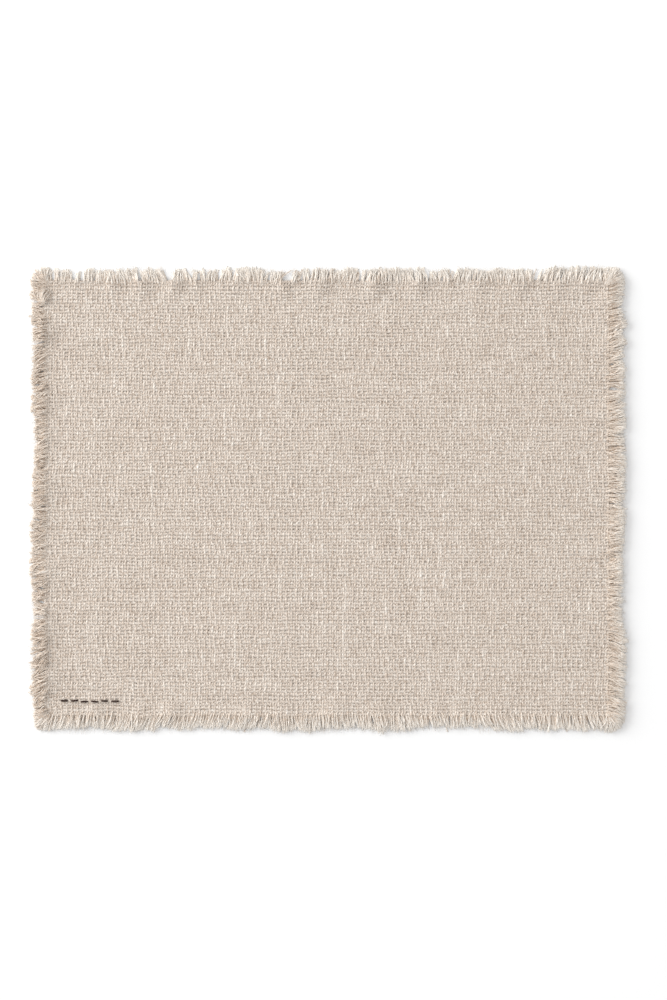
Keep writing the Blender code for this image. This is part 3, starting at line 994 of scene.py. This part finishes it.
def stray_paths(side, chance):
    """The few long ends that lie apart, each of three plies."""
    s = np.linspace(0, 1, PLY_RINGS)
    arch = np.sin(math.pi * s)
    paths = []
    for stray in side.strays:
        for ply in STRAY_PLIES:
            at = (stray.along + (stray.tip_along - stray.along) * s) * MM
            at = at + chance.normal(0, STRAY_BEND) * arch + ply * STRAY_PLY_GAP
            out = side.root + (stray.out + (stray.tip_out - stray.out) * s) * MM
            out = out + stray.bow * MM * arch
            fall = 1 - smooth((out - side.root) / STRAY_FALL)
            height = (WEAVE_MIDDLE + STRAY_ROOT_HEIGHT) * fall + FLOOR_CLEARANCE
            height = height + stray.hump * MM * arch
            paths.append(np.stack([*in_plan(side, at, out), height], axis=-1))
    paths = np.array(paths)
    girth = PLY_HALF * np.broadcast_to(STRAY_GIRTH * (1 - STRAY_TAPER * s**2), paths.shape[:2])
    return paths, np.stack([girth, girth], axis=-1), np.full(paths.shape[:2], STRAY_TONE)


def build_fringe(side, next_side, material):
    """One side's frayed edge, on to its next corner: its loose ends, their plies and their fibres."""
    chance = np.random.default_rng([SEED, side.ends, int(side.root / MM)])
    corner_plies, corner_spread = side.plies + FAN_MORE_PLIES, side.spread * FAN_OPENING
    lots = [
        ply_paths(side_ends(side, chance), side.plies, side.spread, chance),
        ply_paths(corner_ends(side, next_side, chance), corner_plies, corner_spread, chance),
        stray_paths(side, chance),
    ]
    paths, halves, tone = (np.concatenate(parts) for parts in zip(*lots))
    yarns = add_yarns("fringe_yarns_" + side.name, paths, halves, tone, material, even_ring(PLY_SIDES))
    loose = fibre_paths(side, chance)
    fibres = add_yarns("fringe_fibres_" + side.name, *loose, material, even_ring(FIBRE_SIDES))
    return yarns, fibres


# ---------- the sewing

STITCH_RINGS = 7
STITCH_SQUARENESS = 2.2  # how steeply a stitch dives at its ends
WEAVE_TOP = 0.62 * MM  # of the highest yarns, over the middle of the weave
SEWING_THREAD = 0.16 * MM  # half its thickness
SEWING_SIDES = 4
SEWING_RISE = 0.3  # of half its thickness, over the weave's top
SEWING_TONE = 0.1
SEWING_INSET = 1.0 * MM  # in from the fringe's roots
SEWING_STITCH = 2.6 * MM
SEWING_GAP = 0.7 * MM


def stitch_paths(starts, ends, rise):
    """Stitches that come up through the cloth, lie on it and go down again."""
    s = np.linspace(0, 1, STITCH_RINGS)[None, :, None]
    flat = starts[:, None] * (1 - s) + ends[:, None] * s
    arch = np.minimum(np.sin(math.pi * s[..., 0]) * STITCH_SQUARENESS, 1.0)
    height = WEAVE_MIDDLE + (WEAVE_TOP + rise) * arch
    return laid(flat[..., 0], flat[..., 1], height)


def build_sewing(material):
    """The fine, light line of stitches along the fringe's roots that keeps the weave from fraying on."""
    starts, ends = [], []
    for side in SIDES:
        line = side.root - SEWING_INSET
        at = side.start + SEWING_INSET
        while at < side.end - SEWING_INSET - SEWING_STITCH:
            for points, place in ((starts, at), (ends, at + SEWING_STITCH)):
                points.append([place * a + line * o for a, o in zip(side.along, side.out)])
            at += SEWING_STITCH + SEWING_GAP
    paths = stitch_paths(np.array(starts), np.array(ends), SEWING_THREAD * SEWING_RISE)
    halves = np.full(paths.shape[:2] + (2,), SEWING_THREAD)
    tone = np.full(paths.shape[:2], SEWING_TONE)
    return add_yarns("securing_stitches", paths, halves, tone, material, even_ring(SEWING_SIDES))


CORNER_THREAD = 0.68 * MM  # half its thickness
CORNER_SIDES = 8
CORNER_RISE = 0.7  # of half its thickness, over the weave's top
CORNER_ROW_START = (-203.0 * MM, -153.5 * MM)
CORNER_STITCHES = 6
CORNER_STITCH = 5.2 * MM
CORNER_GAP = 2.4 * MM
CORNER_SHAKE = 0.25 * MM
CORNER_LENGTHS = (0.9, 1.1)
CORNER_ASKEW = 0.07  # radians


def build_corner_stitches(material):
    """A row of plain hand stitches in dark thread beside the corner, each a little askew."""
    chance = np.random.default_rng(SEED + 5)
    step = np.arange(CORNER_STITCHES)[:, None] * np.array([CORNER_STITCH + CORNER_GAP, 0.0])
    starts = np.array(CORNER_ROW_START) + step + chance.normal(0, CORNER_SHAKE, (CORNER_STITCHES, 2))
    length = CORNER_STITCH * chance.uniform(*CORNER_LENGTHS, (CORNER_STITCHES, 1))
    turn = chance.normal(0, CORNER_ASKEW, (CORNER_STITCHES, 1))
    ends = starts + length * np.concatenate([np.cos(turn), np.sin(turn)], axis=1)
    paths = stitch_paths(starts, ends, CORNER_THREAD * CORNER_RISE)
    halves = np.full(paths.shape[:2] + (2,), CORNER_THREAD)
    tone = np.zeros(paths.shape[:2])
    return add_yarns("corner_stitches", paths, halves, tone, material, even_ring(CORNER_SIDES))


# ---------- the stage

VIEW_CENTRE = (4.0 * MM, -0.4 * MM)  # the mat lies a little left of the middle of the picture
VIEW_HEIGHT = 760.8 * MM  # what the picture's long side covers at the height of the cloth
LENS_MM = 85
SENSOR_MM = 36
FLOOR_SIZE = 6.0
FLOOR_WHITE = (0.985, 0.985, 0.985, 1)
FLOOR_ROUGHNESS = 0.9
LAMP_POWER = 250.0
LAMP_SIZE = (4.85, 2.6)
LAMP_DISTANCE = 4.5
LAMP_HEIGHT = 1.64
LAMP_AZIMUTH = math.radians(155)  # where it stands, turned from +X towards +Y
SKY_STRENGTH = 0.76


def build_stage():
    """A pale floor, a large soft light at the back left, and an even sky."""
    bpy.ops.mesh.primitive_plane_add(size=FLOOR_SIZE)
    floor = bpy.context.object
    floor.name = "floor"
    shader = Shader("pale_floor")
    floor.data.materials.append(shader.finish({"Base Color": FLOOR_WHITE, "Roughness": FLOOR_ROUGHNESS}))
    light = bpy.data.lights.new("lamp", "AREA")
    light.energy = LAMP_POWER
    light.shape = "RECTANGLE"
    light.size, light.size_y = LAMP_SIZE
    lamp = bpy.data.objects.new("lamp", light)
    lamp.location = (
        LAMP_DISTANCE * math.cos(LAMP_AZIMUTH), LAMP_DISTANCE * math.sin(LAMP_AZIMUTH), LAMP_HEIGHT
    )
    lamp.rotation_euler = lamp.location.to_track_quat("Z", "Y").to_euler()
    bpy.context.scene.collection.objects.link(lamp)
    world = bpy.data.worlds.new("sky")
    world.use_nodes = True
    background = world.node_tree.nodes["Background"]
    background.inputs["Color"].default_value = (1, 1, 1, 1)
    background.inputs["Strength"].default_value = SKY_STRENGTH
    bpy.context.scene.world = world


def build_camera():
    camera = bpy.data.cameras.new("camera")
    camera.lens = LENS_MM
    camera.sensor_width = SENSOR_MM
    view = bpy.data.objects.new("camera", camera)
    distance = VIEW_HEIGHT * LENS_MM / SENSOR_MM
    view.location = (*VIEW_CENTRE, CLOTH_THICKNESS + distance)
    bpy.context.scene.collection.objects.link(view)
    bpy.context.scene.camera = view


def main():
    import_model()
    bpy.context.scene.view_settings.view_transform = "Standard"
    build_camera()
    build_stage()
    cloth_tones = (DEEP_BEIGE, WARM_BEIGE, OFF_WHITE)
    warp_material = yarn_material("warp_yarn", *cloth_tones, GROUND_GROOVE)
    weft_material = yarn_material("weft_yarn", *cloth_tones, GROUND_GROOVE)
    fringe_material = yarn_material("fringe_yarn", DEEP_END, WARM_END, PALE_END, LOOSE_GROOVE)
    sewing_material = yarn_material("sewing_thread", *cloth_tones, SEWING_GROOVE)
    dark_material = yarn_material("dark_thread", DARK_BROWN, DARK_BROWN, RUSTY_BROWN, LOOSE_GROOVE)
    ground = build_ground(warp_material, weft_material)
    fringes = {
        side.name: build_fringe(side, next_side, fringe_material)
        for side, next_side in zip(SIDES, SIDES[1:] + SIDES[:1])
    }
    sewing = build_sewing(sewing_material)
    corner = build_corner_stitches(dark_material)
    for name, piece in ground.items():
        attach(piece, "root")
        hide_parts("ground_cloth")
    for name, pieces in fringes.items():
        for piece in pieces:
            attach(piece, "root")
            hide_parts("fringe_" + name)
    for piece, slot in ((sewing, "fringe_yarn"), (corner, "dark_thread")):
        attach(piece, "root")


main()
